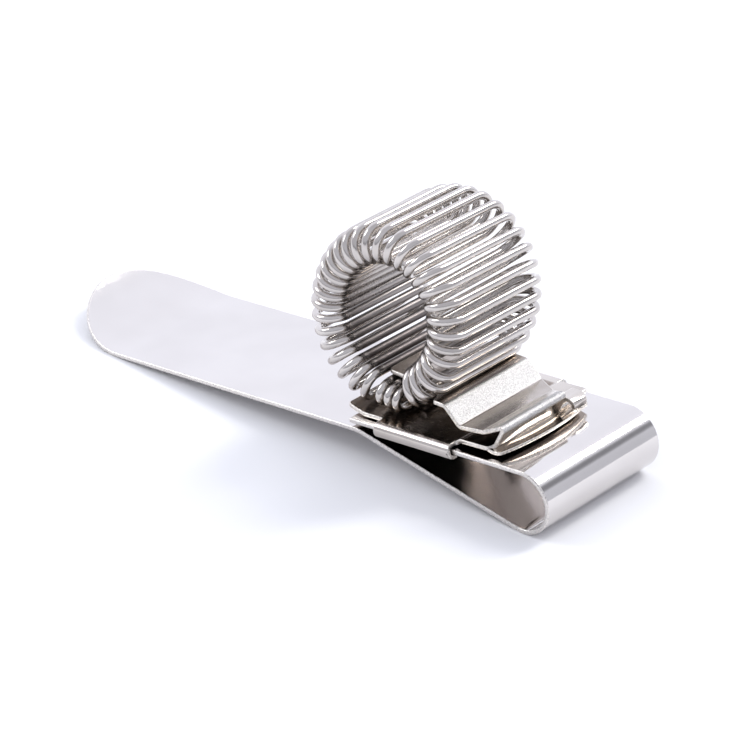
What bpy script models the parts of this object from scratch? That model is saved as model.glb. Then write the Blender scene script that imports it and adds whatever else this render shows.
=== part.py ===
"""Spring-ring clip in bright nickelled steel: a folded strip that grips a pocket or a cover,
a crimped bracket on its short leg, and a coil of wire bent into a ring that holds a pen.

+X runs along the strip from its rounded tip to the fold, +Y across it, +Z up.
Z = 0 is the table and X = Y = 0 is the middle of the plan box. Sizes below are in millimetres.
"""

import math

import bmesh
import bpy

MM = 0.001

# overall sizes
LENGTH = 61.5            # tip to the outside of the fold
STRIP_WIDTH = 16.0
STRIP_THICK = 0.45
FOLD_RADIUS = 3.1        # outside of the fold, so the fold stands twice this tall

# long leg
CREST_X = 39.2           # where the long leg is cranked up to meet the short one
CREST_Z = 3.1            # underside of the crank
LEG_SLOPE = 0.1
FLARE_START = STRIP_WIDTH / 2 + 1.0      # the tip curls up from here
FLARE_RISE = 0.043       # per mm squared

# short leg
SHORT_TIP_X = 38.3
SHORT_LIFT = 0.26        # daylight between the short leg and the crank
SEAM = 0.8               # clear length at the hinge seam, taken up when the clip opens

# bracket
SHEET = 0.4
BRACKET_HALF = 7.2       # half the width of the bracket floor
SEAT_GAP = 0.14          # floor over short leg
TAB_START = 41.6
TAB_END = 50.4
PLATE_FRONT = -6.5       # the clamp plate's front and back edges
PLATE_BACK = 5.3
WALL_BACK = 2.4          # back edge of the wall and the ridge
TONGUE_HALF = 5.0        # half the width of the tongue inside the coil
RIDGE_X = 54.75
RIDGE_Z = 8.65

# coil
WIRE = 0.82
RING_X = 40.6            # centre of the ring
RING_Z = 14.3
RING_MID = 7.05          # ring centre to the middle of a turn
RING_OVAL = 0.49         # the ring is this much out of round
OVAL_TILT = 60.0         # degrees, direction of its longer axis
TURN_HALF = 1.6          # half the radial height of a turn, wire centre to wire centre
COIL_HALF = 7.0          # half the length of a turn across the strip, outside of the wire
RING_FIRST = -58.6       # degrees, first turn at the clamp plate
FIRST_STEP = 10.2         # the first step
CLAMP_STEP = 12.2        # the next three, spread by the clamp plate
RING_STEP = 10.38        # the rest
RING_TURNS = 31
HANG_TURNS = 3
HANG_X = 40.75
HANG_STEP = 0.98
HANG_Z = 6.87
HANG_SQUEEZE = 0.66      # height of the hanging turns, squeezed under the tongue
HANG_LEAN = 7.0          # degrees
GROUPS = 7               # moving lengths of the ring
GROUP_TURNS = 4
CUT_PHASE = 0.75
ROOT_TURNS = 1           # whole turns held by the clamp plate's tongue
RUN_DRIFT = 0.05         # share of a turn's step made in each long run
CUT_GAP = 0.3            # along the wire


def clear_scene():
    for item in list(bpy.data.objects):
        bpy.data.objects.remove(item, do_unlink=True)


def nickel(name, grey, roughness):
    material = bpy.data.materials.new(name)
    material.use_nodes = True
    shader = material.node_tree.nodes["Principled BSDF"]
    shader.inputs["Base Color"].default_value = (grey, grey * 0.985, grey * 0.965, 1.0)
    shader.inputs["Metallic"].default_value = 1.0
    shader.inputs["Roughness"].default_value = roughness
    return material


def add_mesh(name, verts, faces, origin, look):
    """One closed mesh. verts and origin are (x from the tip, y, z) in mm."""
    shift = LENGTH / 2
    mesh = bpy.data.meshes.new(name)
    local = []
    for x, y, z in verts:
        local.append(((x - origin[0]) * MM, (y - origin[1]) * MM, (z - origin[2]) * MM))
    mesh.from_pydata(local, [], faces)
    work = bmesh.new()
    work.from_mesh(mesh)
    bmesh.ops.recalc_face_normals(work, faces=work.faces)
    if work.calc_volume(signed=True) < 0:
        bmesh.ops.reverse_faces(work, faces=work.faces)
    work.to_mesh(mesh)
    work.free()
    mesh.update()
    item = bpy.data.objects.new(name, mesh)
    item.location = ((origin[0] - shift) * MM, origin[1] * MM, origin[2] * MM)
    mesh.materials.append(nickel(name + "_nickel", look[0], look[1]))
    bpy.context.scene.collection.objects.link(item)
    return item


def side_normals(path):
    """Unit-thickness offsets at every point of an (x, z) path, mitred at its bends."""
    rows = []
    for i in range(len(path)):
        dirs = []
        if i > 0:
            dirs.append((path[i][0] - path[i - 1][0], path[i][1] - path[i - 1][1]))
        if i < len(path) - 1:
            dirs.append((path[i + 1][0] - path[i][0], path[i + 1][1] - path[i][1]))
        units = []
        for dx, dz in dirs:
            size = math.hypot(dx, dz)
            units.append((-dz / size, dx / size))
        nx = sum(u[0] for u in units)
        nz = sum(u[1] for u in units)
        size = math.hypot(nx, nz)
        nx /= size
        nz /= size
        spread = nx * units[0][0] + nz * units[0][1]
        rows.append((nx / spread, nz / spread))
    return rows


def sheet(name, path, sides, thick, origin, look):
    """A strip of sheet along an (x, z) path; sides gives (y low, y high) at every point."""
    half = thick / 2
    verts = []
    for (x, z), (nx, nz), (low, high) in zip(path, side_normals(path), sides):
        verts.append((x + nx * half, low, z + nz * half))
        verts.append((x + nx * half, high, z + nz * half))
        verts.append((x - nx * half, high, z - nz * half))
        verts.append((x - nx * half, low, z - nz * half))
    faces = [(0, 1, 2, 3)]
    last = len(path) - 1
    for i in range(last):
        a = 4 * i
        b = a + 4
        for j in range(4):
            k = (j + 1) % 4
            faces.append((a + j, b + j, b + k, a + k))
    faces.append((4 * last + 3, 4 * last + 2, 4 * last + 1, 4 * last))
    return add_mesh(name, verts, faces, origin, look)


def fold_centre():
    return (LENGTH - FOLD_RADIUS, FOLD_RADIUS)


def fold_angles():
    """Directions from the fold's centre to where the long and the short leg run into it."""
    ox, oz = fold_centre()
    mid = FOLD_RADIUS - STRIP_THICK / 2
    cx = CREST_X
    cz = CREST_Z + STRIP_THICK / 2
    reach = math.hypot(ox - cx, oz - cz)
    low = math.atan2(oz - cz, ox - cx) - math.asin(mid / reach)
    sx = SHORT_TIP_X
    sz = CREST_Z + STRIP_THICK + SHORT_LIFT + STRIP_THICK / 2
    reach = math.hypot(ox - sx, oz - sz)
    high = math.atan2(oz - sz, ox - sx) + math.asin(mid / reach)
    return low - math.pi / 2, high + math.pi / 2


def on_fold(angle):
    ox, oz = fold_centre()
    mid = FOLD_RADIUS - STRIP_THICK / 2
    return (ox + mid * math.cos(angle), oz + mid * math.sin(angle))


def leg_height(x):
    """Middle of the long leg's sheet, left of the crank."""
    line = CREST_Z - LEG_SLOPE * (CREST_X - x) + STRIP_THICK / 2
    if x < FLARE_START:
        line += FLARE_RISE * (FLARE_START - x) ** 2
    return line


def make_long_leg(origin):
    half = STRIP_WIDTH / 2
    path = []
    sides = []
    for step in range(1, 13):
        turn = math.radians(7.5 * step)
        x = 0.126 + (half - 0.126) * (1 - math.cos(turn) / math.cos(math.radians(7.5)))
        path.append((x, leg_height(x)))
        sides.append((-half * math.sin(turn), half * math.sin(turn)))
    for x in (FLARE_START, CREST_X - 2.6):
        path.append((x, leg_height(x)))
    low, high = fold_angles()
    end = on_fold(low)
    sink = 0.05
    path.append((CREST_X, leg_height(CREST_X) - sink))
    fall = (end[1] - leg_height(CREST_X)) / (end[0] - CREST_X)
    path.append((CREST_X + 1.4, leg_height(CREST_X) + fall * 1.4))
    path.append((end[0] - 0.15, end[1] - fall * 0.15))
    while len(sides) < len(path):
        sides.append((-half, half))
    sheet("long_leg", path, sides, STRIP_THICK, origin, (0.86, 0.08))


def make_fold(origin):
    half = STRIP_WIDTH / 2
    low, high = fold_angles()
    mid = FOLD_RADIUS - STRIP_THICK / 2
    start = low + 0.15 / mid
    stop = high - SEAM / mid
    path = []
    steps = 18
    for i in range(steps + 1):
        path.append(on_fold(start + (stop - start) * i / steps))
    sheet("fold_bend", path, [(-half, half)] * len(path), STRIP_THICK, origin, (0.86, 0.08))


def short_leg_line(x):
    """Middle of the short leg's sheet."""
    low, high = fold_angles()
    end = on_fold(high)
    slope = math.tan(high - math.pi / 2)
    return end[1] + slope * (x - end[0])


def make_short_leg(origin):
    half = STRIP_WIDTH / 2
    low, high = fold_angles()
    end = on_fold(high)
    path = []
    for x in (SHORT_TIP_X, 45.0, 51.0, end[0]):
        path.append((x, short_leg_line(x)))
    sheet("upper_leg", path, [(-half, half)] * len(path), STRIP_THICK, origin, (0.86, 0.08))


def floor_line(x):
    """Middle of the bracket floor where it lies on the short leg."""
    return short_leg_line(x) + STRIP_THICK / 2 + SEAT_GAP + SHEET / 2


def make_bracket_base(origin):
    """Lip at the left, floor on the leg, a raised stretch, then the wall up to the ridge."""
    half = BRACKET_HALF
    path = [
        (37.0, floor_line(37.0) + 0.26),
        (38.0, floor_line(38.0) + 0.1),
        (39.4, floor_line(39.4)),
        (TAB_END - 0.8, floor_line(TAB_END - 0.8)),
        (TAB_END - 0.3, floor_line(TAB_END - 0.3) + 0.25),
        (53.1, floor_line(53.1) + 0.3),
        (53.7, floor_line(53.7) + 0.5),
        (54.1, floor_line(54.1) + 0.9),
        (RIDGE_X + 0.05, RIDGE_Z - 0.6),
        (RIDGE_X + 0.1, RIDGE_Z - 0.15),
    ]
    sides = [
        (-half + 0.5, half - 0.5),
        (-half + 0.2, half - 0.2),
        (-half, half),
        (-half, half),
        (-half, half),
        (-half, half),
        (-half + 0.1, half - 0.5),
        (PLATE_FRONT, WALL_BACK),
        (PLATE_FRONT, WALL_BACK),
        (PLATE_FRONT, WALL_BACK),
    ]
    sheet("bracket_base", path, sides, SHEET, origin, (0.8, 0.14))


def make_clamp_plate(origin):
    """From the ridge down into a valley, up a step, then a tongue that reaches through the coil."""
    path = [
        (RIDGE_X - 0.62, RIDGE_Z - 0.12),
        (53.2, 7.7),
        (52.7, 7.42),
        (50.4, 6.98),
        (49.8, 7.1),
        (48.45, 8.25),
        (47.95, 8.42),
        (46.95, 8.38),
        (46.35, 8.45),
        (45.9, 8.85),
        (45.3, 9.1),
        (44.7, 8.9),
    ]
    sides = [
        (PLATE_FRONT, WALL_BACK),
        (PLATE_FRONT, WALL_BACK + 0.7),
        (PLATE_FRONT, WALL_BACK + 1.0),
        (PLATE_FRONT, PLATE_BACK - 0.4),
        (PLATE_FRONT, PLATE_BACK),
        (PLATE_FRONT, PLATE_BACK),
        (PLATE_FRONT, PLATE_BACK),
        (PLATE_FRONT, PLATE_BACK),
        (-TONGUE_HALF, TONGUE_HALF),
        (-TONGUE_HALF, TONGUE_HALF),
        (-TONGUE_HALF, TONGUE_HALF),
        (-TONGUE_HALF, TONGUE_HALF),
    ]
    for x, z in ((44.1, 8.57), (43.3, 8.5), (42.6, 8.69), (41.5, 8.72), (40.35, 8.68)):
        path.append((x, z))
        sides.append((-TONGUE_HALF, TONGUE_HALF))
    sheet("clamp_plate", path, sides, SHEET, origin, (0.8, 0.16))


def make_tab(name, side, origin):
    """Crimp: comes off the floor's edge, round the leg's edge and under it."""
    inner = BRACKET_HALF + 0.12
    edge = STRIP_WIDTH / 2 + 0.16
    reach = SHEET
    verts = []
    stations = (TAB_START, (TAB_START + TAB_END) / 2, TAB_END)
    for x in stations:
        mid = short_leg_line(x)
        top = floor_line(x) + SHEET / 2
        seat = floor_line(x) - SHEET / 2
        under = mid - STRIP_THICK / 2 - 0.12
        low = under - SHEET * 0.8
        ring = [
            (inner, top),
            (edge + reach * 0.4, top),
            (edge + reach * 0.85, top - reach * 0.35),
            (edge + reach, top - reach * 0.9),
            (edge + reach, low + reach * 0.7),
            (edge + reach * 0.8, low + reach * 0.2),
            (edge + reach * 0.3, low),
            (edge - 0.75, low),
            (edge - 0.75, under),
            (edge, under),
            (edge, seat),
            (inner, seat),
        ]
        for y, z in ring:
            verts.append((x, side * y, z))
    count = 12
    faces = [tuple(range(count))]
    for i in range(len(stations) - 1):
        for j in range(count):
            k = (j + 1) % count
            a = i * count
            b = a + count
            faces.append((a + j, b + j, b + k, a + k))
    end = (len(stations) - 1) * count
    faces.append(tuple(end + j for j in reversed(range(count))))
    add_mesh(name, verts, faces, origin, (0.8, 0.14))


def make_guard_lip(origin):
    """Half-round, dished apron that comes out from under the ridge over the short leg."""
    columns = 12
    rows = 5
    low = -7.0
    high = 4.9
    root = 54.3
    top = []
    bottom = []
    for i in range(columns + 1):
        t = i / columns
        y = low + (high - low) * t
        swell = math.sin(math.pi * (0.06 + 0.88 * t)) ** 0.6
        reach = 0.8 + 1.3 * swell
        line = []
        for j in range(rows + 1):
            s = j / rows
            x = root + reach * s
            dish = 0.32 * swell * (2 * s - 1) ** 2 - 0.1 * swell
            z = short_leg_line(x) + STRIP_THICK / 2 + 0.3 + dish
            line.append((x, y, z))
        top.append([(x, yy, z + SHEET * 0.8) for x, yy, z in line])
        bottom.append(line)
    verts = []
    for line in top:
        verts.extend(line)
    for line in bottom:
        verts.extend(line)
    faces = []
    across = rows + 1
    offset = across * (columns + 1)
    for i in range(columns):
        for j in range(rows):
            a = i * across + j
            b = a + across
            faces.append((a, b, b + 1, a + 1))
            faces.append((offset + a, offset + a + 1, offset + b + 1, offset + b))
        for j in (0, rows):
            a = i * across + j
            b = a + across
            faces.append((a, b, offset + b, offset + a))
    for i in (0, columns):
        for j in range(rows):
            a = i * across + j
            faces.append((a, a + 1, offset + a + 1, offset + a))
    add_mesh("guard_lip", verts, faces, origin, (0.8, 0.14))


def make_corner_hook(origin):
    """Small tab at the rear right corner of the floor, bent down on to the short leg."""
    path = [(53.95, 7.45), (54.8, 7.55), (55.25, 7.4), (55.5, 7.1)]
    sheet("corner_hook", path, [(2.9, 5.0)] * len(path), SHEET, origin, (0.8, 0.14))


def ring_angle(turn):
    """Degrees round the ring of a whole-numbered turn."""
    angle = RING_FIRST + FIRST_STEP * min(turn, 1)
    angle += CLAMP_STEP * min(max(turn - 1, 0), 3)
    return angle + RING_STEP * max(turn - 4, 0)


def ring_radius(angle):
    return RING_MID + RING_OVAL * math.cos(2 * math.radians(angle - OVAL_TILT))


def turn_station(turn):
    """(x, z, direction towards the hole) of a whole-numbered turn."""
    if turn < RING_TURNS:
        angle = ring_angle(turn)
        reach = ring_radius(angle)
        x = RING_X + reach * math.cos(math.radians(angle))
        z = RING_Z + reach * math.sin(math.radians(angle))
        return (x, z, math.radians(angle + 180.0))
    hung = turn - RING_TURNS
    return (HANG_X + HANG_STEP * hung, HANG_Z, math.radians(450.0 + HANG_LEAN))


def along_coil(turns):
    """Smooth (x, z, direction) for any number of turns from the start."""
    base = math.floor(turns)
    t = turns - base
    rows = [turn_station(base + k) for k in (-1, 0, 1, 2)]
    out = []
    for i in range(3):
        a, b, c, d = (row[i] for row in rows)
        curve = 2 * b + (c - a) * t + (2 * a - 5 * b + 4 * c - d) * t * t
        curve += (3 * b - a - 3 * c + d) * t * t * t
        out.append(curve / 2)
    return out


def turn_sizes():
    straight = 2 * (COIL_HALF - WIRE / 2 - TURN_HALF)
    arc = math.pi * TURN_HALF
    return straight, arc, 2 * straight + 2 * arc


def coil_point(turns):
    """The wire's centre after this many turns; a whole number is the front of a turn.
    Nearly all of the step round the ring is made in the round ends, so the long runs stay
    square to the ring."""
    straight, arc, total = turn_sizes()
    whole = math.floor(turns)
    run = (turns - whole) * total
    end = straight / 2
    bend = 0.5 - RUN_DRIFT
    if run < arc / 2:
        a = run / TURN_HALF
        y = -end - TURN_HALF * math.cos(a)
        radial = TURN_HALF * math.sin(a)
        step = bend * run / arc
    elif run < arc / 2 + straight:
        y = -end + (run - arc / 2)
        radial = TURN_HALF
        step = bend / 2 + RUN_DRIFT * (run - arc / 2) / straight
    elif run < 1.5 * arc + straight:
        a = (run - arc / 2 - straight) / TURN_HALF
        y = end + TURN_HALF * math.sin(a)
        radial = TURN_HALF * math.cos(a)
        step = bend / 2 + RUN_DRIFT + bend * (run - arc / 2 - straight) / arc
    elif run < 1.5 * arc + 2 * straight:
        y = end - (run - 1.5 * arc - straight)
        radial = -TURN_HALF
        step = 1.5 * bend + RUN_DRIFT * (1 + (run - 1.5 * arc - straight) / straight)
    else:
        a = (run - 1.5 * arc - 2 * straight) / TURN_HALF
        y = -end - TURN_HALF * math.sin(a)
        radial = -TURN_HALF * math.cos(a)
        step = 1.5 * bend + 2 * RUN_DRIFT + bend * (run - 1.5 * arc - 2 * straight) / arc
    hung = min(max((turns - RING_TURNS + 0.7) / 0.5, 0.0), 1.0)
    radial *= 1 - (1 - HANG_SQUEEZE) * hung
    x, z, direction = along_coil(whole + step)
    return (x + radial * math.cos(direction), y, z + radial * math.sin(direction))


def coil_phases():
    straight, arc, total = turn_sizes()
    marks = [0.0, arc / 4, arc / 2, arc / 2 + straight / 2]
    marks += [arc / 2 + straight, arc * 0.75 + straight, arc + straight]
    marks += [arc * 1.25 + straight, arc * 1.5 + straight, arc * 1.5 + straight * 1.5]
    marks += [arc * 1.5 + straight * 2, arc * 1.75 + straight * 2]
    return [mark / total for mark in marks]


def coil_length(name, start, stop, origin):
    """A closed six-sided length of the wire between two turn numbers."""
    turns = [start]
    for whole in range(math.floor(start), math.floor(stop) + 1):
        for phase in coil_phases():
            if start + 0.012 < whole + phase < stop - 0.012:
                turns.append(whole + phase)
    turns.append(stop)
    points = [coil_point(t) for t in turns]
    sides = 6
    verts = []
    across = None
    count = len(points)
    for i in range(count):
        a = points[max(i - 1, 0)]
        b = points[min(i + 1, count - 1)]
        run = [b[k] - a[k] for k in range(3)]
        size = math.sqrt(sum(v * v for v in run))
        run = [v / size for v in run]
        if across is None:
            across = [0.0, 0.0, 1.0] if abs(run[2]) < 0.9 else [1.0, 0.0, 0.0]
        lean = sum(run[k] * across[k] for k in range(3))
        across = [across[k] - lean * run[k] for k in range(3)]
        size = math.sqrt(sum(v * v for v in across))
        across = [v / size for v in across]
        third = [
            run[1] * across[2] - run[2] * across[1],
            run[2] * across[0] - run[0] * across[2],
            run[0] * across[1] - run[1] * across[0],
        ]
        radius = WIRE / 2 * 1.03
        for j in range(sides):
            turn = 2 * math.pi * j / sides
            co = math.cos(turn) * radius
            si = math.sin(turn) * radius
            verts.append(tuple(points[i][k] + co * across[k] + si * third[k] for k in range(3)))
    faces = [tuple(range(sides))]
    for i in range(count - 1):
        for j in range(sides):
            k = (j + 1) % sides
            a = i * sides
            b = a + sides
            faces.append((a + j, b + j, b + k, a + k))
    end = (count - 1) * sides
    faces.append(tuple(end + j for j in reversed(range(sides))))
    add_mesh(name, verts, faces, origin, (0.84, 0.1))


def make_coil():
    total = turn_sizes()[2]
    half_gap = CUT_GAP / total / 2
    cut = ROOT_TURNS + CUT_PHASE
    coil_length("coil_root", -0.2, cut - half_gap, (RING_X, 0.0, RING_Z))
    for index in range(GROUPS):
        start = cut + half_gap
        cut += GROUP_TURNS
        coil_length("coil_arc_%d" % (index + 1), start, cut - half_gap, (RING_X, 0.0, RING_Z))
    last = RING_TURNS + HANG_TURNS - 0.12
    coil_length("coil_tail", cut + half_gap, last, (RING_X, 0.0, RING_Z))


def main():
    clear_scene()
    ox, oz = fold_centre()
    hinge = (ox, 0.0, oz)
    make_long_leg((0.0, 0.0, 0.0))
    make_fold(hinge)
    make_short_leg(hinge)
    make_bracket_base(hinge)
    make_tab("crimp_tab_front", -1, hinge)
    make_tab("crimp_tab_rear", 1, hinge)
    make_clamp_plate(hinge)
    make_guard_lip(hinge)
    make_corner_hook(hinge)
    make_coil()


main()
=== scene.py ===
"""Looks for the spring-ring pen clip: polished nickel sheet, a crimped bracket and a ring of
coiled wire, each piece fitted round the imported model.

Lengths are in millimetres with x from the rounded tip, as a fitter would measure the clip, and
spot() turns them into the row frame's metres.
"""

import math

import bmesh
import bpy
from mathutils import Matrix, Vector


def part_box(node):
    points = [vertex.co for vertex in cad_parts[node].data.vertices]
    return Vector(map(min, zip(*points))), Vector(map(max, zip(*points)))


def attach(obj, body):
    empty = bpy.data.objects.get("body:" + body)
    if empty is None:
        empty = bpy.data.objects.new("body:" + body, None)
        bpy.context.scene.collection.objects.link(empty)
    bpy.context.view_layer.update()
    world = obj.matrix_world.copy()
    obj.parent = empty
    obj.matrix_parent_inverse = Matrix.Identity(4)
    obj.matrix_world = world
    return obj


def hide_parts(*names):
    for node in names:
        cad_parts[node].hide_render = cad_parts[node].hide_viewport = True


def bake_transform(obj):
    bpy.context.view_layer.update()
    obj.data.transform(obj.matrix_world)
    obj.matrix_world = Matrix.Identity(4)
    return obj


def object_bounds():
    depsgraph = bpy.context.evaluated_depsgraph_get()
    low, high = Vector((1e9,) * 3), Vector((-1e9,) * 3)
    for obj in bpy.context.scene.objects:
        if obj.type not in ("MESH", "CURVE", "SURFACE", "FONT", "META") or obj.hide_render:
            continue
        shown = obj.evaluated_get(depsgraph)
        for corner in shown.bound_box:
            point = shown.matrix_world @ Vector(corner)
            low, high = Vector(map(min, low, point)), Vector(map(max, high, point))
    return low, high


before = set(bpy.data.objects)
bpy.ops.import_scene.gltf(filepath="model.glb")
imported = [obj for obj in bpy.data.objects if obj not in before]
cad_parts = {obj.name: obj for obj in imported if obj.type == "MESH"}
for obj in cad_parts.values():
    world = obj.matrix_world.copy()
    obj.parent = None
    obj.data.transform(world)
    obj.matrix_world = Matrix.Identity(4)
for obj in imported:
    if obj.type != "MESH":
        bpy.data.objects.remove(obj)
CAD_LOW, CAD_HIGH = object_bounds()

MM = 0.001

# strip
LENGTH = (CAD_HIGH.x - CAD_LOW.x) / MM
STRIP_HALF = (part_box("long_leg")[1].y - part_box("long_leg")[0].y) / MM / 2
STRIP_THICK = 0.45
FOLD_RADIUS = 3.1
CREST_X = 39.2
CREST_Z = 3.1
LEG_SLOPE = 0.1
FLARE_START = 9.0        # the round end curls up from here
FLARE_RISE = 0.043
TIP_STEPS = 44           # corners round the rounded tip
SHORT_TIP_X = 38.3
SHORT_LIFT = 0.26
FOLD_LOW_X = 56.6        # where the fold's piece meets the long leg
FOLD_HIGH_X = 57.3       # where it meets the short leg
FOLD_STEPS = 56
STRIP_EDGE = 0.13        # rounding of the strip's rim

# bracket
SHEET = 0.4
BRACKET_HALF = 7.2
SEAT_GAP = 0.14
LIP_FOOT = 39.4          # x where the upturned lip meets the floor
TAB_START = 41.6
TAB_END = 50.4
HAIRPIN = 0.22           # middle radius of the ridge
HAIRPIN_END = 212.0      # degrees, heading of the plate as it leaves the ridge
HAIRPIN_STEPS = 14
PLATE_FRONT = -6.5
PLATE_BACK = 5.3
WALL_BACK = 2.4
TONGUE_HALF = 5.0
SHEET_EDGE = 0.1
APRON_LOW = -7.1
APRON_HIGH = 5.0
APRON_ROOT = 53.7
TAB_EDGE = 0.08

# coil
WIRE = 0.82
RING_X = 40.6
RING_Z = 14.3
RING_MID = 7.05
RING_OVAL = 0.49         # how far the ring is from round
OVAL_TILT = 60.0         # degrees from x to its long way
TURN_HALF = 1.6
COIL_HALF = 7.0
RING_FIRST = -58.6       # degrees, where the first turn stands
FIRST_STEP = 10.2        # degrees to the second turn
CLAMP_STEP = 12.2        # degrees between the turns held by the tongue
CLAMP_TURNS = 3
RING_STEP = 10.38        # degrees between all the others
RING_TURNS = 31
HANG_TURNS = 3
HANG_X = 40.75
HANG_STEP = 0.98
HANG_Z = 6.87
HANG_SQUEEZE = 0.66      # height of the hanging turns, squeezed under the tongue
HANG_LEAN = 7.0          # degrees
RUN_DRIFT = 0.05         # of a step, taken along each straight run
FIRST_TURN = -0.2
LAST_TURN = RING_TURNS + HANG_TURNS - 0.12
ROOT_END = 1.75          # turns held by the bracket's tongue
GROUP_TURNS = 4
GROUPS = 7
TUBE_SIDES = 14
STRAIGHT = 2 * (COIL_HALF - WIRE / 2 - TURN_HALF)
ARC = math.pi * TURN_HALF
TURN_LENGTH = 2 * STRAIGHT + 2 * ARC
BEND_STEPS = 14
RUN_STEPS = 6


def spot(x, y, z):
    return Vector((CAD_LOW.x + x * MM, y * MM, z * MM))


# ---------------------------------------------------------------- lines and sheets


def fillet(corners, radii, closed=False, fineness=9.0):
    """A polyline with an arc of the given radius at each corner, fineness in degrees."""
    out = []
    marks = []
    count = len(corners)
    for i, (corner, radius) in enumerate(zip(corners, radii)):
        here = Vector(corner)
        if not closed and i in (0, count - 1) or radius <= 0:
            marks.append(len(out))
            out.append(here)
            continue
        before = Vector(corners[i - 1])
        after = Vector(corners[(i + 1) % count])
        a = before - here
        b = after - here
        room = 0.49 * min(a.length, b.length)
        a.normalize()
        b.normalize()
        inside = a.angle(b)
        turn = math.pi - inside
        if turn < 0.01:
            marks.append(len(out))
            out.append(here)
            continue
        back = min(radius * math.tan(turn / 2), room)
        radius = back / math.tan(turn / 2)
        centre = here + (a + b).normalized() * (radius / math.cos(turn / 2))
        steps = max(2, math.ceil(math.degrees(turn) / fineness))
        spoke = here + a * back - centre
        way = 1 if a.x * b.y - a.y * b.x < 0 else -1
        marks.append(len(out) + steps // 2)
        for k in range(steps + 1):
            angle = way * turn * k / steps
            c, s = math.cos(angle), math.sin(angle)
            out.append(centre + Vector((spoke.x * c - spoke.y * s, spoke.x * s + spoke.y * c)))
    return out, marks


class Line:
    """An (x, z) line that can be read at any distance along it, with its left-hand normal."""

    def __init__(self, points):
        self.points = [Vector(p) for p in points]
        self.runs = [0.0]
        for a, b in zip(self.points, self.points[1:]):
            self.runs.append(self.runs[-1] + (b - a).length)
        self.normals = []
        last = len(self.points) - 1
        for i in range(last + 1):
            ahead = self.points[min(i + 1, last)] - self.points[i]
            behind = self.points[i] - self.points[max(i - 1, 0)]
            both = Vector((0.0, 0.0))
            for piece in (ahead, behind):
                if piece.length > 1e-9:
                    both += piece.normalized()
            both.normalize()
            self.normals.append(Vector((-both.y, both.x)))

    def at(self, run):
        last = len(self.points) - 1
        low = 0
        high = last
        while high - low > 1:
            middle = (low + high) // 2
            if self.runs[middle] <= run:
                low = middle
            else:
                high = middle
        size = self.runs[low + 1] - self.runs[low]
        t = (run - self.runs[low]) / size
        where = self.points[low].lerp(self.points[low + 1], t)
        tilt = self.normals[low].lerp(self.normals[low + 1], min(max(t, 0.0), 1.0))
        tilt.normalize()
        return where, tilt

    def run_at_x(self, x):
        """Distance along a line whose x only grows."""
        for i in range(len(self.points) - 1):
            a, b = self.points[i].x, self.points[i + 1].x
            if x <= b or i == len(self.points) - 2:
                return self.runs[i] + (x - a) / (b - a) * (self.runs[i + 1] - self.runs[i])


def finish_mesh(name, work, materials, smooth_angle=40.0):
    """The bmesh, in millimetres, becomes an object in the row frame."""
    bmesh.ops.remove_doubles(work, verts=work.verts, dist=0.0008)
    for vert in work.verts:
        vert.co = spot(*vert.co)
    mesh = bpy.data.meshes.new(name)
    work.to_mesh(mesh)
    work.free()
    for material in materials:
        mesh.materials.append(material)
    mesh.shade_smooth()
    mesh.set_sharp_from_angle(angle=math.radians(smooth_angle))
    item = bpy.data.objects.new(name, mesh)
    bpy.context.scene.collection.objects.link(item)
    return item


def weigh_normals(item):
    """Wide flats stay flat to the eye next to their rounded rims."""
    weighted = item.modifiers.new("weighted", "WEIGHTED_NORMAL")
    weighted.mode = "FACE_AREA"
    weighted.keep_sharp = True
    shape = bpy.data.meshes.new_from_object(
        item.evaluated_get(bpy.context.evaluated_depsgraph_get())
    )
    item.modifiers.clear()
    item.data = shape


def blank(name, outline, cuts_u, cuts_v, thick, edge, place, materials, open_u=None):
    """A sheet part: a flat blank is cut out, its rim is rounded, and place(u, v, w) bends it.
    Its faces take the first material and its sheared rim the second. An open end, where
    another piece carries the sheet on, has no wall and no rounding."""
    work = bmesh.new()
    corners = []
    for u, v in outline:
        corners.append(work.verts.new((u, v, -thick / 2)))
    work.faces.new(corners)
    for axis, cuts in ((0, cuts_u), (1, cuts_v)):
        for cut in cuts:
            where = [0.0, 0.0, 0.0]
            where[axis] = cut
            way = [0.0, 0.0, 0.0]
            way[axis] = 1.0
            bmesh.ops.bisect_plane(
                work,
                geom=work.verts[:] + work.edges[:] + work.faces[:],
                dist=0.004,
                plane_co=where,
                plane_no=way,
            )
    raised = bmesh.ops.extrude_face_region(work, geom=work.faces[:])
    for vert in raised["geom"]:
        if isinstance(vert, bmesh.types.BMVert):
            vert.co.z = thick / 2
    bmesh.ops.recalc_face_normals(work, faces=work.faces)
    if open_u is not None:
        walls = []
        for face in work.faces:
            if all(abs(vert.co.x - open_u) < 1e-4 for vert in face.verts):
                walls.append(face)
        bmesh.ops.delete(work, geom=walls, context="FACES")
    rim = []
    for side in work.edges:
        flats = [abs(face.normal.z) > 0.5 for face in side.link_faces]
        if len(flats) == 2 and flats[0] != flats[1]:
            rim.append(side)
    for face in work.faces:
        face.material_index = 0 if abs(face.normal.z) > 0.5 else 1
    bmesh.ops.bevel(
        work,
        geom=rim,
        offset=edge,
        segments=3,
        profile=0.5,
        affect="EDGES",
        clamp_overlap=False,
        material=1,
    )
    for vert in work.verts:
        vert.co = place(*vert.co)
    item = finish_mesh(name, work, materials)
    weigh_normals(item)
    return item


# ---------------------------------------------------------------- materials


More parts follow.
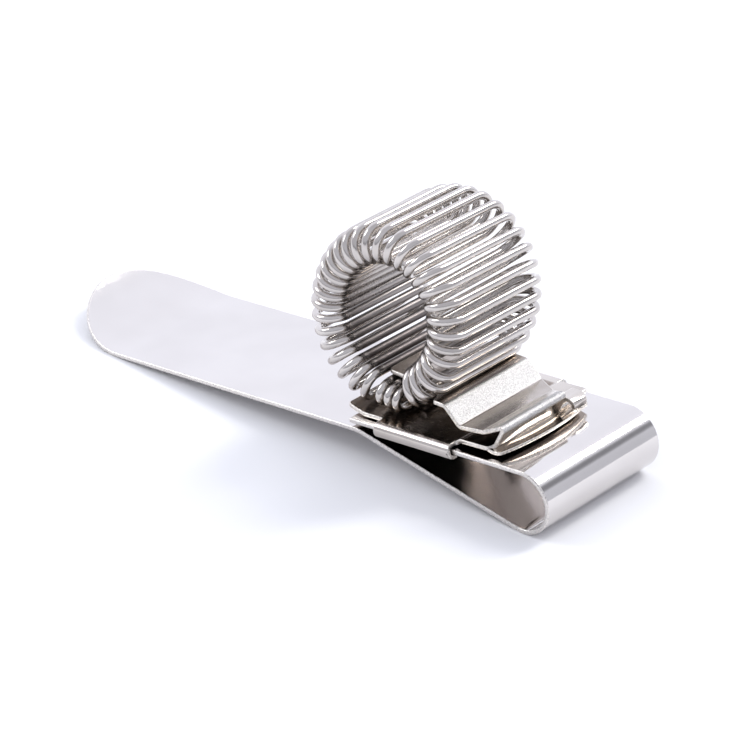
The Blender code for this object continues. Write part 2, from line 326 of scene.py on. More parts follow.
class Nodes:
    """Short names for the node calls that every material makes."""

    def __init__(self, name):
        self.material = bpy.data.materials.new(name)
        self.material.use_nodes = True
        self.tree = self.material.node_tree
        self.shader = self.tree.nodes["Principled BSDF"]
        self.shader.inputs["Metallic"].default_value = 1.0
        coords = self.tree.nodes.new("ShaderNodeTexCoord")
        scale = self.tree.nodes.new("ShaderNodeVectorMath")
        scale.operation = "SCALE"
        scale.inputs["Scale"].default_value = 1 / MM
        self.link(coords.outputs["Object"], scale.inputs[0])
        self.place = scale.outputs[0]

    def link(self, a, b):
        self.tree.links.new(a, b)

    def stretched(self, x, y, z):
        node = self.tree.nodes.new("ShaderNodeVectorMath")
        node.operation = "MULTIPLY"
        node.inputs[1].default_value = (x, y, z)
        self.link(self.place, node.inputs[0])
        return node.outputs[0]

    def noise(self, scale, detail=3.0, rough=0.55, place=None):
        node = self.tree.nodes.new("ShaderNodeTexNoise")
        node.inputs["Scale"].default_value = scale
        node.inputs["Detail"].default_value = detail
        node.inputs["Roughness"].default_value = rough
        self.link(place or self.place, node.inputs["Vector"])
        return node.outputs["Fac"]

    def span(self, value, low, high, to_low, to_high):
        node = self.tree.nodes.new("ShaderNodeMapRange")
        node.inputs["From Min"].default_value = low
        node.inputs["From Max"].default_value = high
        node.inputs["To Min"].default_value = to_low
        node.inputs["To Max"].default_value = to_high
        self.link(value, node.inputs["Value"])
        return node.outputs["Result"]

    def math(self, kind, a, b):
        node = self.tree.nodes.new("ShaderNodeMath")
        node.operation = kind
        for value, socket in zip((a, b), node.inputs):
            if isinstance(value, float):
                socket.default_value = value
            else:
                self.link(value, socket)
        return node.outputs[0]

    def mix(self, factor, a, b):
        node = self.tree.nodes.new("ShaderNodeMix")
        node.data_type = "RGBA"
        for value, socket in ((a, node.inputs[6]), (b, node.inputs[7])):
            if isinstance(value, tuple):
                socket.default_value = (*value, 1.0)
            else:
                self.link(value, socket)
        self.link(factor, node.inputs[0])
        return node.outputs[2]

    def patch(self, low, high, soft=0.25):
        """1 inside a box given in millimetres from the tip, easing to 0 just outside it."""
        split = self.tree.nodes.new("ShaderNodeSeparateXYZ")
        self.link(self.place, split.inputs[0])
        shift = (CAD_LOW.x / MM, 0.0, 0.0)
        inside = None
        for axis in range(3):
            for edge, way in ((low[axis], 1), (high[axis], -1)):
                if edge is None:
                    continue
                edge += shift[axis]
                step = self.span(split.outputs[axis], edge - way * soft, edge, 0.0, 1.0)
                inside = step if inside is None else self.math("MULTIPLY", inside, step)
        return inside

    def bore_shade(self):
        """Painted shade inside the ring, where the close turns shade each other: heavier low
        down, none round the front and back of the turns.
        """
        split = self.tree.nodes.new("ShaderNodeSeparateXYZ")
        self.link(self.place, split.inputs[0])
        x, y, z = split.outputs
        away = self.math("SUBTRACT", x, RING_X + CAD_LOW.x / MM)
        up = self.math("SUBTRACT", z, RING_Z)
        reach = self.math("ADD", self.math("MULTIPLY", away, away), self.math("MULTIPLY", up, up))
        inner = self.span(reach, 36.0, 48.0, 1.0, 0.0)
        within = self.span(self.math("MULTIPLY", y, y), 22.0, 31.0, 1.0, 0.0)
        depth = self.span(z, 18.0, 9.5, 0.0, 0.93)
        return self.math("MULTIPLY", self.math("MULTIPLY", inner, within), depth)

    def bump(self, height, distance, before=None):
        node = self.tree.nodes.new("ShaderNodeBump")
        node.inputs["Strength"].default_value = 1.0
        node.inputs["Distance"].default_value = distance * MM
        self.link(height, node.inputs["Height"])
        if before is not None:
            self.link(before, node.inputs["Normal"])
        return node.outputs["Normal"]


def plated(name, bright, dull, shine, wave, fleck, shade_boxes=None, worn=None):
    """Bright nickel plate: slow drift in tone, rolling lines along x, flecks and a soft wave.
    In the shade boxes a dark brown is painted in as painted shade for the recesses under the
    coil, and the worn boxes are broken into sparkling grain."""
    n = Nodes(name)
    drift = n.noise(0.12, 2.0)
    flecks = n.span(n.noise(5.5, 4.0, 0.7), 0.66, 0.74, 0.0, 1.0)
    lines = n.noise(1.0, 2.0, 0.5, n.stretched(0.25, 9.0, 9.0))
    tone = n.mix(n.span(drift, 0.35, 0.65, 0.0, 1.0), bright, dull)
    marked = n.math("MULTIPLY", flecks, fleck)
    tone = n.mix(marked, tone, (0.36, 0.34, 0.33))
    rough = n.span(lines, 0.3, 0.7, shine * 0.75, shine * 1.35)
    rough = n.math("ADD", rough, n.math("MULTIPLY", marked, 0.3))
    soft = n.bump(n.noise(0.35, 1.0), wave)
    normal = n.bump(n.noise(6.0, 3.0), 0.0016, soft)
    # Painted shade: each box is clouded towards dark brown (0.22, 0.175, 0.14) where the sheet
    # lies in shadow under the coil
    for low, high, amount in shade_boxes or ():
        cloud = n.span(n.noise(0.6, 3.0), 0.3, 0.6, 0.65 * amount, amount)
        painted_shade = n.math("MULTIPLY", n.patch(low, high), cloud)
        tone = n.mix(painted_shade, tone, (0.22, 0.175, 0.14))
        rough = n.math("ADD", rough, n.math("MULTIPLY", painted_shade, 0.12))
    for box in worn or ():
        here = n.patch(*box)
        grain = n.noise(9.0, 3.0, 0.7)
        tone = n.mix(here, tone, n.mix(n.span(grain, 0.4, 0.6, 0.0, 1.0), (0.66, 0.645, 0.63),
                                       (0.36, 0.35, 0.34)))
        rough = n.math("ADD", rough, n.math("MULTIPLY", here, 0.24))
        normal = n.bump(n.math("MULTIPLY", here, grain), 0.05, normal)
    n.link(tone, n.shader.inputs["Base Color"])
    n.link(rough, n.shader.inputs["Roughness"])
    n.link(normal, n.shader.inputs["Normal"])
    return n.material


def sheared(name, tone):
    """The cut rim of a sheet: torn grain, brighter and rougher than the faces."""
    n = Nodes(name)
    grain = n.noise(3.4, 4.0, 0.7)
    pits = n.span(n.noise(7.0, 3.0, 0.7), 0.52, 0.62, 0.0, 1.0)
    dark = tuple(0.62 * part for part in tone)
    n.link(n.mix(pits, tone, dark), n.shader.inputs["Base Color"])
    n.link(n.span(grain, 0.3, 0.7, 0.16, 0.42), n.shader.inputs["Roughness"])
    n.link(n.bump(grain, 0.02), n.shader.inputs["Normal"])
    return n.material


def drawn_wire(name):
    """Drawn and plated spring wire, with faint die lines and small scuffs."""
    n = Nodes(name)
    drift = n.noise(0.3, 2.0)
    scuff = n.span(n.noise(4.0, 4.0, 0.7), 0.64, 0.75, 0.0, 1.0)
    tone = n.mix(n.span(drift, 0.35, 0.65, 0.0, 1.0), (0.63, 0.595, 0.565), (0.53, 0.495, 0.465))
    tone = n.mix(n.math("MULTIPLY", scuff, 0.45), tone, (0.4, 0.37, 0.35))
    # Painted shade: inside the ring the wire's colour is darkened towards (0.15, 0.13, 0.125),
    # and the same mask also makes it rougher
    bore_shade_mask = n.bore_shade()
    n.link(n.mix(bore_shade_mask, tone, (0.15, 0.13, 0.125)), n.shader.inputs["Base Color"])
    rough = n.span(n.noise(2.2, 3.0), 0.3, 0.7, 0.1, 0.2)
    n.link(n.math("ADD", rough, n.math("MULTIPLY", bore_shade_mask, 0.3)), n.shader.inputs["Roughness"])
    n.link(n.bump(n.noise(5.0, 3.0), 0.003), n.shader.inputs["Normal"])
    return n.material


NICKEL = plated("strip_nickel", (0.71, 0.68, 0.66), (0.67, 0.64, 0.62), 0.085, 0.012, 0.5)
NICKEL_EDGE = sheared("strip_edge", (0.74, 0.705, 0.67))
BRACKET = plated(
    "bracket_nickel", (0.68, 0.635, 0.59), (0.56, 0.515, 0.47), 0.12, 0.02, 0.8,
    # Painted shade boxes: the floor in the cavity under the coil, the plate under the coil, and
    # the valley
    shade_boxes=(
        ((36.0, -6.9, None), (50.0, 6.9, 6.4), 1.0),
        ((38.0, None, 7.0), (48.15, None, 9.8), 0.6),
        ((50.2, None, 6.7), (53.4, None, 8.3), 0.4),
    ),
    worn=(((48.3, None, 6.8), (50.0, None, 8.7)), ((54.1, None, 8.2), (55.3, None, 9.5))),
)
BRACKET_EDGE = sheared("bracket_edge", (0.74, 0.7, 0.65))
SPRING = drawn_wire("spring_wire")


# ---------------------------------------------------------------- strip


def fold_lines():
    """Fold centre, middle radius, and the angles where the two legs run into the fold."""
    centre = Vector((LENGTH - FOLD_RADIUS, FOLD_RADIUS))
    middle = FOLD_RADIUS - STRIP_THICK / 2
    crest = Vector((CREST_X, CREST_Z + STRIP_THICK / 2))
    short = Vector((SHORT_TIP_X, CREST_Z + STRIP_THICK * 1.5 + SHORT_LIFT))
    angles = []
    for leg, way in ((crest, -1), (short, 1)):
        reach = centre - leg
        lean = math.atan2(reach.y, reach.x) + way * math.asin(middle / reach.length)
        angles.append(lean + way * math.pi / 2)
    return centre, middle, angles[0], angles[1]


def on_fold(angle):
    centre, middle = fold_lines()[:2]
    return centre + middle * Vector((math.cos(angle), math.sin(angle)))


def leg_height(x):
    line = CREST_Z - LEG_SLOPE * (CREST_X - x) + STRIP_THICK / 2
    if x < FLARE_START:
        line += FLARE_RISE * (FLARE_START - x) ** 2
    return line


def low_leg_height(x):
    """Middle of the sheet between the crank and the fold."""
    end = on_fold(fold_lines()[2])
    crest = leg_height(CREST_X)
    return crest + (end.y - crest) * (x - CREST_X) / (end.x - CREST_X)


def short_leg_height(x):
    high = fold_lines()[3]
    end = on_fold(high)
    return end.y + math.tan(high - math.pi / 2) * (x - end.x)


def make_long_leg():
    curl_steps = 14
    points = []
    for i in range(curl_steps + 1):
        x = FLARE_START * i / curl_steps
        points.append((x, leg_height(x)))
    crank, _ = fillet(
        [points[-1], (CREST_X, leg_height(CREST_X)), (FOLD_LOW_X, low_leg_height(FOLD_LOW_X))],
        [0.0, 5.0, 0.0],
        fineness=1.5,
    )
    line = Line(points + [tuple(p) for p in crank[1:]])
    outline = []
    for i in range(TIP_STEPS + 1):
        angle = math.radians(91.0 + 178.0 * i / TIP_STEPS)
        outline.append((STRIP_HALF + STRIP_HALF * math.cos(angle), STRIP_HALF * math.sin(angle)))
    outline.append((FOLD_LOW_X, -STRIP_HALF))
    outline.append((FOLD_LOW_X, STRIP_HALF))

    def place(x, y, w):
        where, tilt = line.at(line.run_at_x(x))
        return (where.x + tilt.x * w, y, where.y + tilt.y * w)

    cuts = [p.x for p in line.points[1:-1]]
    return blank("strip_long_leg", outline, cuts, [], STRIP_THICK, STRIP_EDGE, place,
                 [NICKEL, NICKEL_EDGE], FOLD_LOW_X)


def section(half, thick, edge):
    """Outline of the strip's cross section with rounded rims, from the middle of the top."""
    corners = [(half, thick / 2), (half, -thick / 2), (-half, -thick / 2), (-half, thick / 2)]
    points, _ = fillet(corners, [edge] * 4, closed=True, fineness=30.0)
    return points


def swept_strip(name, line, materials):
    """A length of the strip with open ends, swept along an (x, z) line."""
    ring = section(STRIP_HALF, STRIP_THICK, STRIP_EDGE)
    work = bmesh.new()
    rows = []
    for run in line.runs:
        where, tilt = line.at(run)
        row = []
        for across, up in ring:
            row.append(work.verts.new((where.x + tilt.x * up, across, where.y + tilt.y * up)))
        rows.append(row)
    count = len(ring)
    for a, b in zip(rows, rows[1:]):
        for i in range(count):
            k = (i + 1) % count
            face = work.faces.new((a[i], a[k], b[k], b[i]))
            wide = abs(ring[i][0] - ring[k][0]) > STRIP_HALF
            face.material_index = 0 if wide else 1
    bmesh.ops.recalc_face_normals(work, faces=work.faces)
    item = finish_mesh(name, work, materials)
    weigh_normals(item)
    return item


def make_fold():
    low, high = fold_lines()[2:]
    points = [(FOLD_LOW_X, low_leg_height(FOLD_LOW_X))]
    for i in range(FOLD_STEPS + 1):
        points.append(tuple(on_fold(low + (high - low) * i / FOLD_STEPS)))
    points.append((FOLD_HIGH_X, short_leg_height(FOLD_HIGH_X)))
    return swept_strip("strip_fold", Line(points), [NICKEL, NICKEL_EDGE])


def make_short_leg():
    points = [(FOLD_HIGH_X, short_leg_height(FOLD_HIGH_X))]
    for x in (50.0, 44.0, SHORT_TIP_X + 0.05):
        points.append((x, short_leg_height(x)))
    return swept_strip("strip_short_leg", Line(points), [NICKEL, NICKEL_EDGE])


# ---------------------------------------------------------------- bracket


def floor_height(x):
    return short_leg_height(x) + STRIP_THICK / 2 + SEAT_GAP + SHEET / 2


def bracket_line():
    """Lip, floor, raised stretch, wall, hairpin ridge, valley, step and tongue, with the
    distances along the line of the floor's and the plate's bends."""
    floor = [
        (37.0, floor_height(37.0) + 0.26),
        (38.0, floor_height(38.0) + 0.1),
        (LIP_FOOT, floor_height(LIP_FOOT)),
        (TAB_END - 0.1, floor_height(TAB_END - 0.1)),
        (TAB_END + 0.3, floor_height(TAB_END + 0.3) + 0.28),
        (54.1, floor_height(54.1) + 0.35),
        (54.85, 8.15),
    ]
    points, marks = fillet(floor, [0, 0.8, 1.0, 0.3, 0.3, 0.4, 0])
    way = (Vector(floor[-1]) - Vector(floor[-2])).normalized()
    heading = math.atan2(way.y, way.x)
    turn = math.radians(HAIRPIN_END) - heading
    centre = Vector(floor[-1]) + HAIRPIN * Vector((-way.y, way.x))
    for k in range(1, HAIRPIN_STEPS + 1):
        angle = heading - math.pi / 2 + turn * k / HAIRPIN_STEPS
        points.append(centre + HAIRPIN * Vector((math.cos(angle), math.sin(angle))))
    plate = [
        tuple(points[-1]),
        (52.75, 7.42),
        (50.0, 6.93),
        (48.25, 8.45),
        (46.6, 8.38),
        (45.75, 9.1),
        (44.85, 9.05),
        (43.3, 8.45),
        (42.5, 8.71),
        (40.35, 8.68),
    ]
    rest, more = fillet(plate, [0, 1.0, 0.8, 0.6, 0.5, 0.6, 0.6, 0.8, 0.8, 0])
    line = Line([tuple(p) for p in points + rest[1:]])
    last = len(points) - 1
    return line, [line.runs[m] for m in marks], [line.runs[last + m] for m in more]


def crimp_line():
    """Across the strip's edge: from the floor's side, round the edge and in under the leg."""
    outer = STRIP_HALF + 0.36
    depth = SHEET + STRIP_THICK + 0.26
    points, _ = fillet(
        [(BRACKET_HALF, 0.0), (outer, 0.0), (outer, -depth), (STRIP_HALF - 0.75, -depth)],
        [0, 0.5, 0.5, 0],
        fineness=12.0,
    )
    return Line([tuple(p) for p in points])


def make_bracket():
    line, floor, plate = bracket_line()
    crimp = crimp_line()
    half = BRACKET_HALF
    reach = half + crimp.runs[-1]
    tab_low = floor[2] + (TAB_START - LIP_FOOT)
    tab_high = floor[3]
    wall = floor[5]
    neck = plate[4]
    low_side = [
        (0.0, -half + 0.5),
        (floor[2], -half),
        (tab_low, -half),
        (tab_low, -reach),
        (tab_high, -reach),
        (tab_high, -half),
        (wall - 0.25, -half),
        (wall + 0.1, PLATE_FRONT),
        (neck - 0.3, PLATE_FRONT),
        (neck + 0.3, -TONGUE_HALF),
        (line.runs[-1], -TONGUE_HALF),
    ]
    high_side = [
        (0.0, half - 0.5),
        (floor[2], half),
        (tab_low, half),
        (tab_low, reach),
        (tab_high, reach),
        (tab_high, half),
        (wall - 0.25, half),
        (wall + 0.1, WALL_BACK + 0.1),
        (plate[0] + 0.1, WALL_BACK),
        (plate[2] - 0.4, PLATE_BACK - 0.3),
        (plate[2] + 0.4, PLATE_BACK),
        (neck - 0.3, PLATE_BACK),
        (neck + 0.3, TONGUE_HALF),
        (line.runs[-1], TONGUE_HALF),
    ]
    low_round = [0.5, 0.5, 0.15, 0.35, 0.35, 0.15, 0.2, 0.15, 0.3, 0.3, 0.6]
    high_round = [0.5, 0.5, 0.15, 0.35, 0.35, 0.15, 0.3, 0.3, 0.4, 0.6, 0.8, 0.2, 0.2, 0.6]
    corners = low_side + high_side[::-1]
    outline, _ = fillet(corners, low_round + high_round[::-1], closed=True, fineness=24.0)

    def place(u, v, w):
        where, tilt = line.at(min(max(u, 0.0), line.runs[-1]))
        beyond = abs(v) - half
        side = 1.0 if v > 0 else -1.0
        if beyond <= 0:
            y = v
            lift = w
        else:
            across, lean = crimp.at(min(beyond, crimp.runs[-1]))
            y = side * (across.x + lean.x * w)
            lift = across.y + lean.y * w
        return (where.x + tilt.x * lift, y, where.y + tilt.y * lift)

    cuts_v = []
    for run in crimp.runs[:-1]:
        cuts_v += [half + run, -half - run]
    return blank("bracket_sheet", [tuple(p) for p in outline], line.runs[1:-1], cuts_v, SHEET,
                 SHEET_EDGE, place, [BRACKET, BRACKET_EDGE])


def make_apron():
    """Half-round and dished, it comes out to the right from under the ridge."""
    columns = 36
    rows = 14

    def place(s, t, w):
        swell = math.sin(math.pi * (0.05 + 0.9 * min(max(t, 0.0), 1.0))) ** 0.6
        x = APRON_ROOT + (1.2 + 1.5 * swell) * s
        dish = 0.6 * swell * (2 * s - 1) ** 2 - 0.22 * swell
        z = short_leg_height(x) + STRIP_THICK / 2 + 0.28 + SHEET / 2 + dish
        return (x, APRON_LOW + (APRON_HIGH - APRON_LOW) * t, z + w)

    work = bmesh.new()
    across = columns + 1
    layers = []
    for w in (SHEET * 0.42, -SHEET * 0.42):
        layer = []
        for i in range(rows + 1):
            for j in range(across):
                layer.append(work.verts.new(place(i / rows, j / columns, w)))
        layers.append(layer)
    top, under = layers
    for i in range(rows):
        for j in range(columns):
            a = i * across + j
            b = a + across
            work.faces.new((top[a], top[a + 1], top[b + 1], top[b]))
            work.faces.new((under[a], under[b], under[b + 1], under[a + 1]))
    border = list(range(across))
    border += [i * across + columns for i in range(1, rows + 1)]
    border += [rows * across + j for j in range(columns - 1, -1, -1)]
    border += [i * across for i in range(rows - 1, 0, -1)]
    for a, b in zip(border, border[1:] + border[:1]):
        face = work.faces.new((top[a], under[a], under[b], top[b]))
        face.material_index = 1
    bmesh.ops.recalc_face_normals(work, faces=work.faces)
    rim = []
    for side in work.edges:
        kinds = {face.material_index for face in side.link_faces}
        if len(kinds) == 2:
            rim.append(side)
    bmesh.ops.bevel(work, geom=rim, offset=0.09, segments=3, profile=0.5, affect="EDGES",
                    clamp_overlap=False, material=1)
    item = finish_mesh("bracket_apron", work, [BRACKET, BRACKET_EDGE], 60.0)
    weigh_normals(item)
    return item


def make_corner_tab():
    """At the rear right corner, bent down on to the short leg."""
    points, _ = fillet(
        [(53.35, 6.5), (53.7, 7.4), (54.95, 7.6), (55.45, 7.35), (55.55, 6.75)],
        [0, 0.35, 0.5, 0.3, 0],
    )
    line = Line([tuple(p) for p in points])
    end = line.runs[-1]
    outline, _ = fillet([(0, 2.75), (end, 2.9), (end, 4.6), (0, 5.2)], [0.1, 0.3, 0.3, 0.1],
                        closed=True, fineness=20.0)

    def place(u, v, w):
        where, tilt = line.at(min(max(u, 0.0), end))
        return (where.x + tilt.x * w, v, where.y + tilt.y * w)

    return blank("bracket_corner_tab", [tuple(p) for p in outline], line.runs[1:-1], [], SHEET,
                 TAB_EDGE, place, [BRACKET, BRACKET_EDGE])


# ---------------------------------------------------------------- coil


def ring_angle(turn):
    angle = RING_FIRST + FIRST_STEP * min(turn, 1)
    angle += CLAMP_STEP * min(max(turn - 1, 0), CLAMP_TURNS)
    return angle + RING_STEP * max(turn - 1 - CLAMP_TURNS, 0)


def ring_radius(angle):
    return RING_MID + RING_OVAL * math.cos(2 * math.radians(angle - OVAL_TILT))


def on_ring(angle):
    """(x, z) of the ring's middle line, angle in degrees."""
    reach = ring_radius(angle)
    return (RING_X + reach * math.cos(math.radians(angle)),
            RING_Z + reach * math.sin(math.radians(angle)))


def turn_station(turn):
    """(x, z, direction towards the hole) of a whole-numbered turn."""
    if turn < RING_TURNS:
        angle = ring_angle(turn)
        return (*on_ring(angle), math.radians(angle + 180.0))
    hung = turn - RING_TURNS
    return (HANG_X + HANG_STEP * hung, HANG_Z, math.radians(450.0 + HANG_LEAN))


def along_coil(turns):
    """Smooth (x, z, direction) for any number of turns from the start."""
    base = math.floor(turns)
    t = turns - base
    rows = [turn_station(base + k) for k in (-1, 0, 1, 2)]
    out = []
    for i in range(3):
        a, b, c, d = (row[i] for row in rows)
        curve = 2 * b + (c - a) * t + (2 * a - 5 * b + 4 * c - d) * t * t
        curve += (3 * b - a - 3 * c + d) * t * t * t
        out.append(curve / 2)
    return out


def coil_point(turns):
    """The wire's centre after this many turns; a whole number is the front of a turn."""
    whole = math.floor(turns)
    run = (turns - whole) * TURN_LENGTH
    end = STRAIGHT / 2
    bend = 0.5 - RUN_DRIFT
    if run < ARC / 2:
        a = run / TURN_HALF
        y = -end - TURN_HALF * math.cos(a)
        radial = TURN_HALF * math.sin(a)
        step = bend * run / ARC
    elif run < ARC / 2 + STRAIGHT:
        y = -end + (run - ARC / 2)
        radial = TURN_HALF
        step = bend / 2 + RUN_DRIFT * (run - ARC / 2) / STRAIGHT
    elif run < 1.5 * ARC + STRAIGHT:
        a = (run - ARC / 2 - STRAIGHT) / TURN_HALF
        y = end + TURN_HALF * math.sin(a)
        radial = TURN_HALF * math.cos(a)
        step = bend / 2 + RUN_DRIFT + bend * (run - ARC / 2 - STRAIGHT) / ARC
    elif run < 1.5 * ARC + 2 * STRAIGHT:
        y = end - (run - 1.5 * ARC - STRAIGHT)
        radial = -TURN_HALF
        step = 1.5 * bend + RUN_DRIFT * (1 + (run - 1.5 * ARC - STRAIGHT) / STRAIGHT)
    else:
        a = (run - 1.5 * ARC - 2 * STRAIGHT) / TURN_HALF
        y = -end - TURN_HALF * math.sin(a)
        radial = -TURN_HALF * math.cos(a)
        step = 1.5 * bend + 2 * RUN_DRIFT + bend * (run - 1.5 * ARC - 2 * STRAIGHT) / ARC
    hung = min(max((turns - RING_TURNS + 0.7) / 0.5, 0.0), 1.0)
    radial *= 1 - (1 - HANG_SQUEEZE) * hung
    x, z, direction = along_coil(whole + step)
    return Vector((x + radial * math.cos(direction), y, z + radial * math.sin(direction)))


def turn_phases():
    """Where the wire's rings of vertices lie in a turn: close together round the ends."""
    marks = []
    start = 0.0
    for length, steps in (
        (ARC / 2, BEND_STEPS // 2),
        (STRAIGHT, RUN_STEPS),
        (ARC, BEND_STEPS),
        (STRAIGHT, RUN_STEPS),
        (ARC / 2, BEND_STEPS // 2),
    ):
        marks += [start + length * k / steps for k in range(steps)]
        start += length
    return [mark / TURN_LENGTH for mark in marks]


def wire_stations(breaks):
    """Turn numbers along the whole wire, with every break among them."""
    turns = {FIRST_TURN, LAST_TURN, *breaks}
    for whole in range(math.floor(FIRST_TURN), math.ceil(LAST_TURN)):
        for phase in turn_phases():
            turn = whole + phase
            near = min(abs(turn - mark) for mark in (FIRST_TURN, LAST_TURN, *breaks))
            if FIRST_TURN < turn < LAST_TURN and near > 0.004:
                turns.add(turn)
    return sorted(turns)


def make_wire():
    """The wire's pieces, each from the middle of one moving length to the middle of the next."""
    breaks = [ROOT_END + GROUP_TURNS * (group + 0.5) for group in range(GROUPS)]
    turns = wire_stations(breaks)
    points = [coil_point(turn) for turn in turns]
    across = Vector((1.0, 0.0, 0.0))
    rings = []
    last = len(points) - 1
    for i, point in enumerate(points):
        run = points[min(i + 1, last)] - points[max(i - 1, 0)]
        run.normalize()
        across = (across - run * across.dot(run)).normalized()
        third = run.cross(across)
        ring = []
        for k in range(TUBE_SIDES):
            angle = 2 * math.pi * k / TUBE_SIDES
            ring.append(point + (across * math.cos(angle) + third * math.sin(angle)) * WIRE / 2)
        rings.append(ring)
    marks = [0] + [turns.index(mark) for mark in breaks] + [last]
    for index in range(len(marks) - 1):
        work = bmesh.new()
        loops = []
        for ring in rings[marks[index]:marks[index + 1] + 1]:
            loops.append([work.verts.new(p) for p in ring])
        for a, b in zip(loops, loops[1:]):
            for i in range(TUBE_SIDES):
                k = (i + 1) % TUBE_SIDES
                work.faces.new((a[i], a[k], b[k], b[i]))
        if index == 0:
            cap_wire(work, loops[0], points[0] - points[1])
        if index == len(marks) - 2:
            cap_wire(work, loops[-1], points[-1] - points[-2])
        bmesh.ops.recalc_face_normals(work, faces=work.faces)
        item = finish_mesh("wire_%d" % (index + 1), work, [SPRING], 60.0)
        join = ring_angle(ROOT_END + GROUP_TURNS * index)
        angle = math.radians(join)
        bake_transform(item)
        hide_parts("coil_root" if index == 0 else "coil_arc_%d" % index)
        if index == GROUPS:
            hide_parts("coil_tail")


def cap_wire(work, loop, out):
    """A sheared wire end with a small round."""
    out = out.normalized()
    middle = sum((vert.co for vert in loop), Vector()) / len(loop)
    before = loop
    for inset, forward in ((0.86, 0.05), (0.62, 0.08)):
        ring = []
        for vert in loop:
            ring.append(work.verts.new(middle + (vert.co - middle) * inset + out * forward))
        for i in range(TUBE_SIDES):
            k = (i + 1) % TUBE_SIDES
            work.faces.new((before[i], before[k], ring[k], ring[i]))
        before = ring
    work.faces.new(before)


# ---------------------------------------------------------------- the clip


def build_clip():
    long_leg = make_long_leg()
    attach(long_leg, "base")
    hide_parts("long_leg")
    fold = make_fold()
    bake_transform(fold)
    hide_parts("fold_bend")
    short_leg = make_short_leg()
    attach(short_leg, "jaw")
    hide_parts("upper_leg")
    sheet = make_bracket()
    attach(sheet, "jaw")
    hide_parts("bracket_base", "clamp_plate", "crimp_tab_front", "crimp_tab_rear")
    apron = make_apron()
    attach(apron, "jaw")
    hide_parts("guard_lip")
    tab = make_corner_tab()
    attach(tab, "jaw")
    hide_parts("corner_hook")
    make_wire()


# ---------------------------------------------------------------- studio


def make_floor():
    half = 1.2               # metres
    mesh = bpy.data.meshes.new("floor")
    mesh.from_pydata([(-half, -half, 0), (half, -half, 0), (half, half, 0), (-half, half, 0)], [],
                     [(0, 1, 2, 3)])
    floor = bpy.data.objects.new("floor", mesh)
    paper = bpy.data.materials.new("paper")
    paper.use_nodes = True
    shader = paper.node_tree.nodes["Principled BSDF"]
    shader.inputs["Base Color"].default_value = (0.93, 0.93, 0.94, 1.0)
    shader.inputs["Roughness"].default_value = 0.9
    mesh.materials.append(paper)
    bpy.context.scene.collection.objects.link(floor)


def soft_light(name, place, aim, width, height, power, tint):
    data = bpy.data.lights.new(name, "AREA")
    data.shape = "RECTANGLE"
    data.size = width
    data.size_y = height
    data.energy = power
    data.color = tint
    lamp = bpy.data.objects.new(name, data)
    lamp.location = place
    lamp.rotation_euler = (Vector(aim) - Vector(place)).to_track_quat("-Z", "Y").to_euler()
    bpy.context.scene.collection.objects.link(lamp)


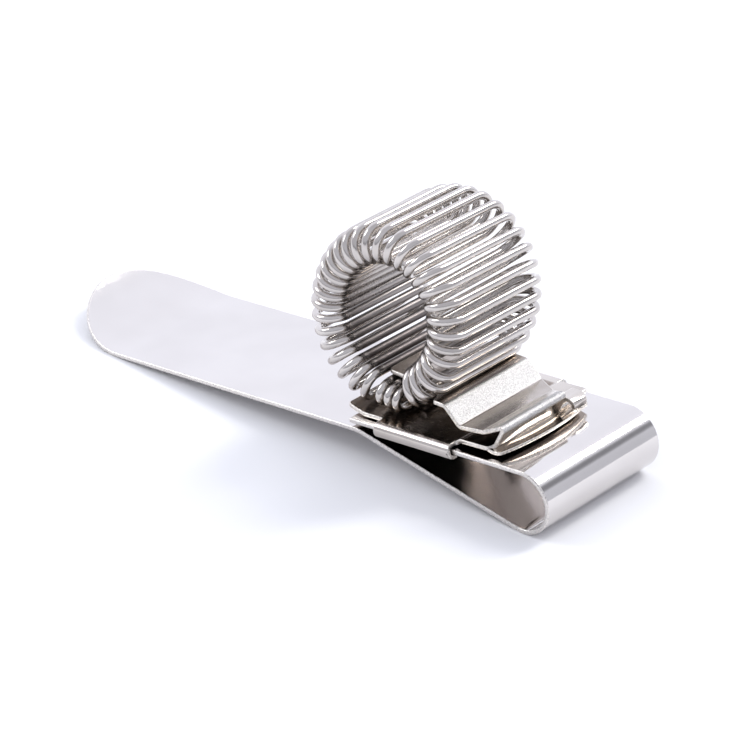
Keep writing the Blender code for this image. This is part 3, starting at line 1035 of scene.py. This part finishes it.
def make_world():
    """A pale tent, darker low down to the front right than to the back left, with one small
    dark panel high at the back right."""
    world = bpy.data.worlds.new("studio")
    bpy.context.scene.world = world
    world.use_nodes = True
    tree = world.node_tree
    back = tree.nodes["Background"]
    coords = tree.nodes.new("ShaderNodeTexCoord")
    split = tree.nodes.new("ShaderNodeSeparateXYZ")
    tree.links.new(coords.outputs["Generated"], split.inputs[0])
    far_left = tree.nodes.new("ShaderNodeVectorMath")
    far_left.operation = "DOT_PRODUCT"
    far_left.inputs[1].default_value = (-0.66, 0.75, 0.0)
    tree.links.new(coords.outputs["Generated"], far_left.inputs[0])

    def eased(value, low, high, to_low, to_high):
        node = tree.nodes.new("ShaderNodeMapRange")
        node.interpolation_type = "SMOOTHSTEP"
        node.inputs["From Min"].default_value = low
        node.inputs["From Max"].default_value = high
        node.inputs["To Min"].default_value = to_low
        node.inputs["To Max"].default_value = to_high
        tree.links.new(value, node.inputs["Value"])
        return node.outputs["Result"]

    def blended(factor, a, b):
        node = tree.nodes.new("ShaderNodeMix")
        for value, socket in ((factor, node.inputs[0]), (a, node.inputs[2]), (b, node.inputs[3])):
            if isinstance(value, float):
                socket.default_value = value
            else:
                tree.links.new(value, socket)
        return node.outputs[0]

    def near(way, low, high):
        """Rises from 0 to 1 as a direction closes on the given one."""
        node = tree.nodes.new("ShaderNodeVectorMath")
        node.operation = "DOT_PRODUCT"
        node.inputs[1].default_value = way
        tree.links.new(coords.outputs["Generated"], node.inputs[0])
        return eased(node.outputs["Value"], low, high, 0.0, 1.0)

    lean = far_left.outputs["Value"]
    height = split.outputs["Z"]
    low_tone = tree.nodes.new("ShaderNodeMath")
    tree.links.new(eased(lean, -0.6, -0.05, 0.4, 0.75), low_tone.inputs[0])
    tree.links.new(eased(lean, 0.1, 0.75, 0.0, 0.49), low_tone.inputs[1])
    high_tone = eased(lean, 0.02, 0.55, 0.75, 1.24)
    band = eased(height, 0.02, 0.3, 0.0, 1.0)
    level = blended(band, low_tone.outputs[0], high_tone)
    level = blended(near((0.53, 0.66, 0.52), 0.976, 0.994), level, 0.3)
    tint = tree.nodes.new("ShaderNodeVectorMath")
    tint.operation = "SCALE"
    tint.inputs[0].default_value = (0.96, 0.985, 1.1)
    tree.links.new(level, tint.inputs["Scale"])
    tree.links.new(tint.outputs[0], back.inputs["Color"])
    back.inputs["Strength"].default_value = 1.0


def make_camera():
    azimuth = math.radians(41.0)
    elevation = math.radians(28.5)
    distance = 0.35
    target = Vector((0.003637, 0.000094, 0.004))
    back = Vector((
        math.sin(azimuth) * math.cos(elevation),
        -math.cos(azimuth) * math.cos(elevation),
        math.sin(elevation),
    ))
    data = bpy.data.cameras.new("camera")
    data.sensor_width = 36.0
    data.lens = 180.99
    data.clip_start = 0.01
    camera = bpy.data.objects.new("camera", data)
    camera.location = target + back * distance
    camera.rotation_euler = (-back).to_track_quat("-Z", "Y").to_euler()
    bpy.context.scene.collection.objects.link(camera)
    bpy.context.scene.camera = camera


def build_studio():
    make_floor()
    make_world()
    soft_light("overhead", (0.165, 0.47, 0.53), (0, 0, 0), 0.14, 0.4, 2.2, (1.0, 0.99, 0.97))
    soft_light("side", (-0.5, -0.3, 0.45), (0, 0, 0.01), 0.25, 0.35, 1.3, (0.98, 0.99, 1.0))
    bpy.context.scene.view_settings.view_transform = "Standard"
    make_camera()


build_clip()
build_studio()
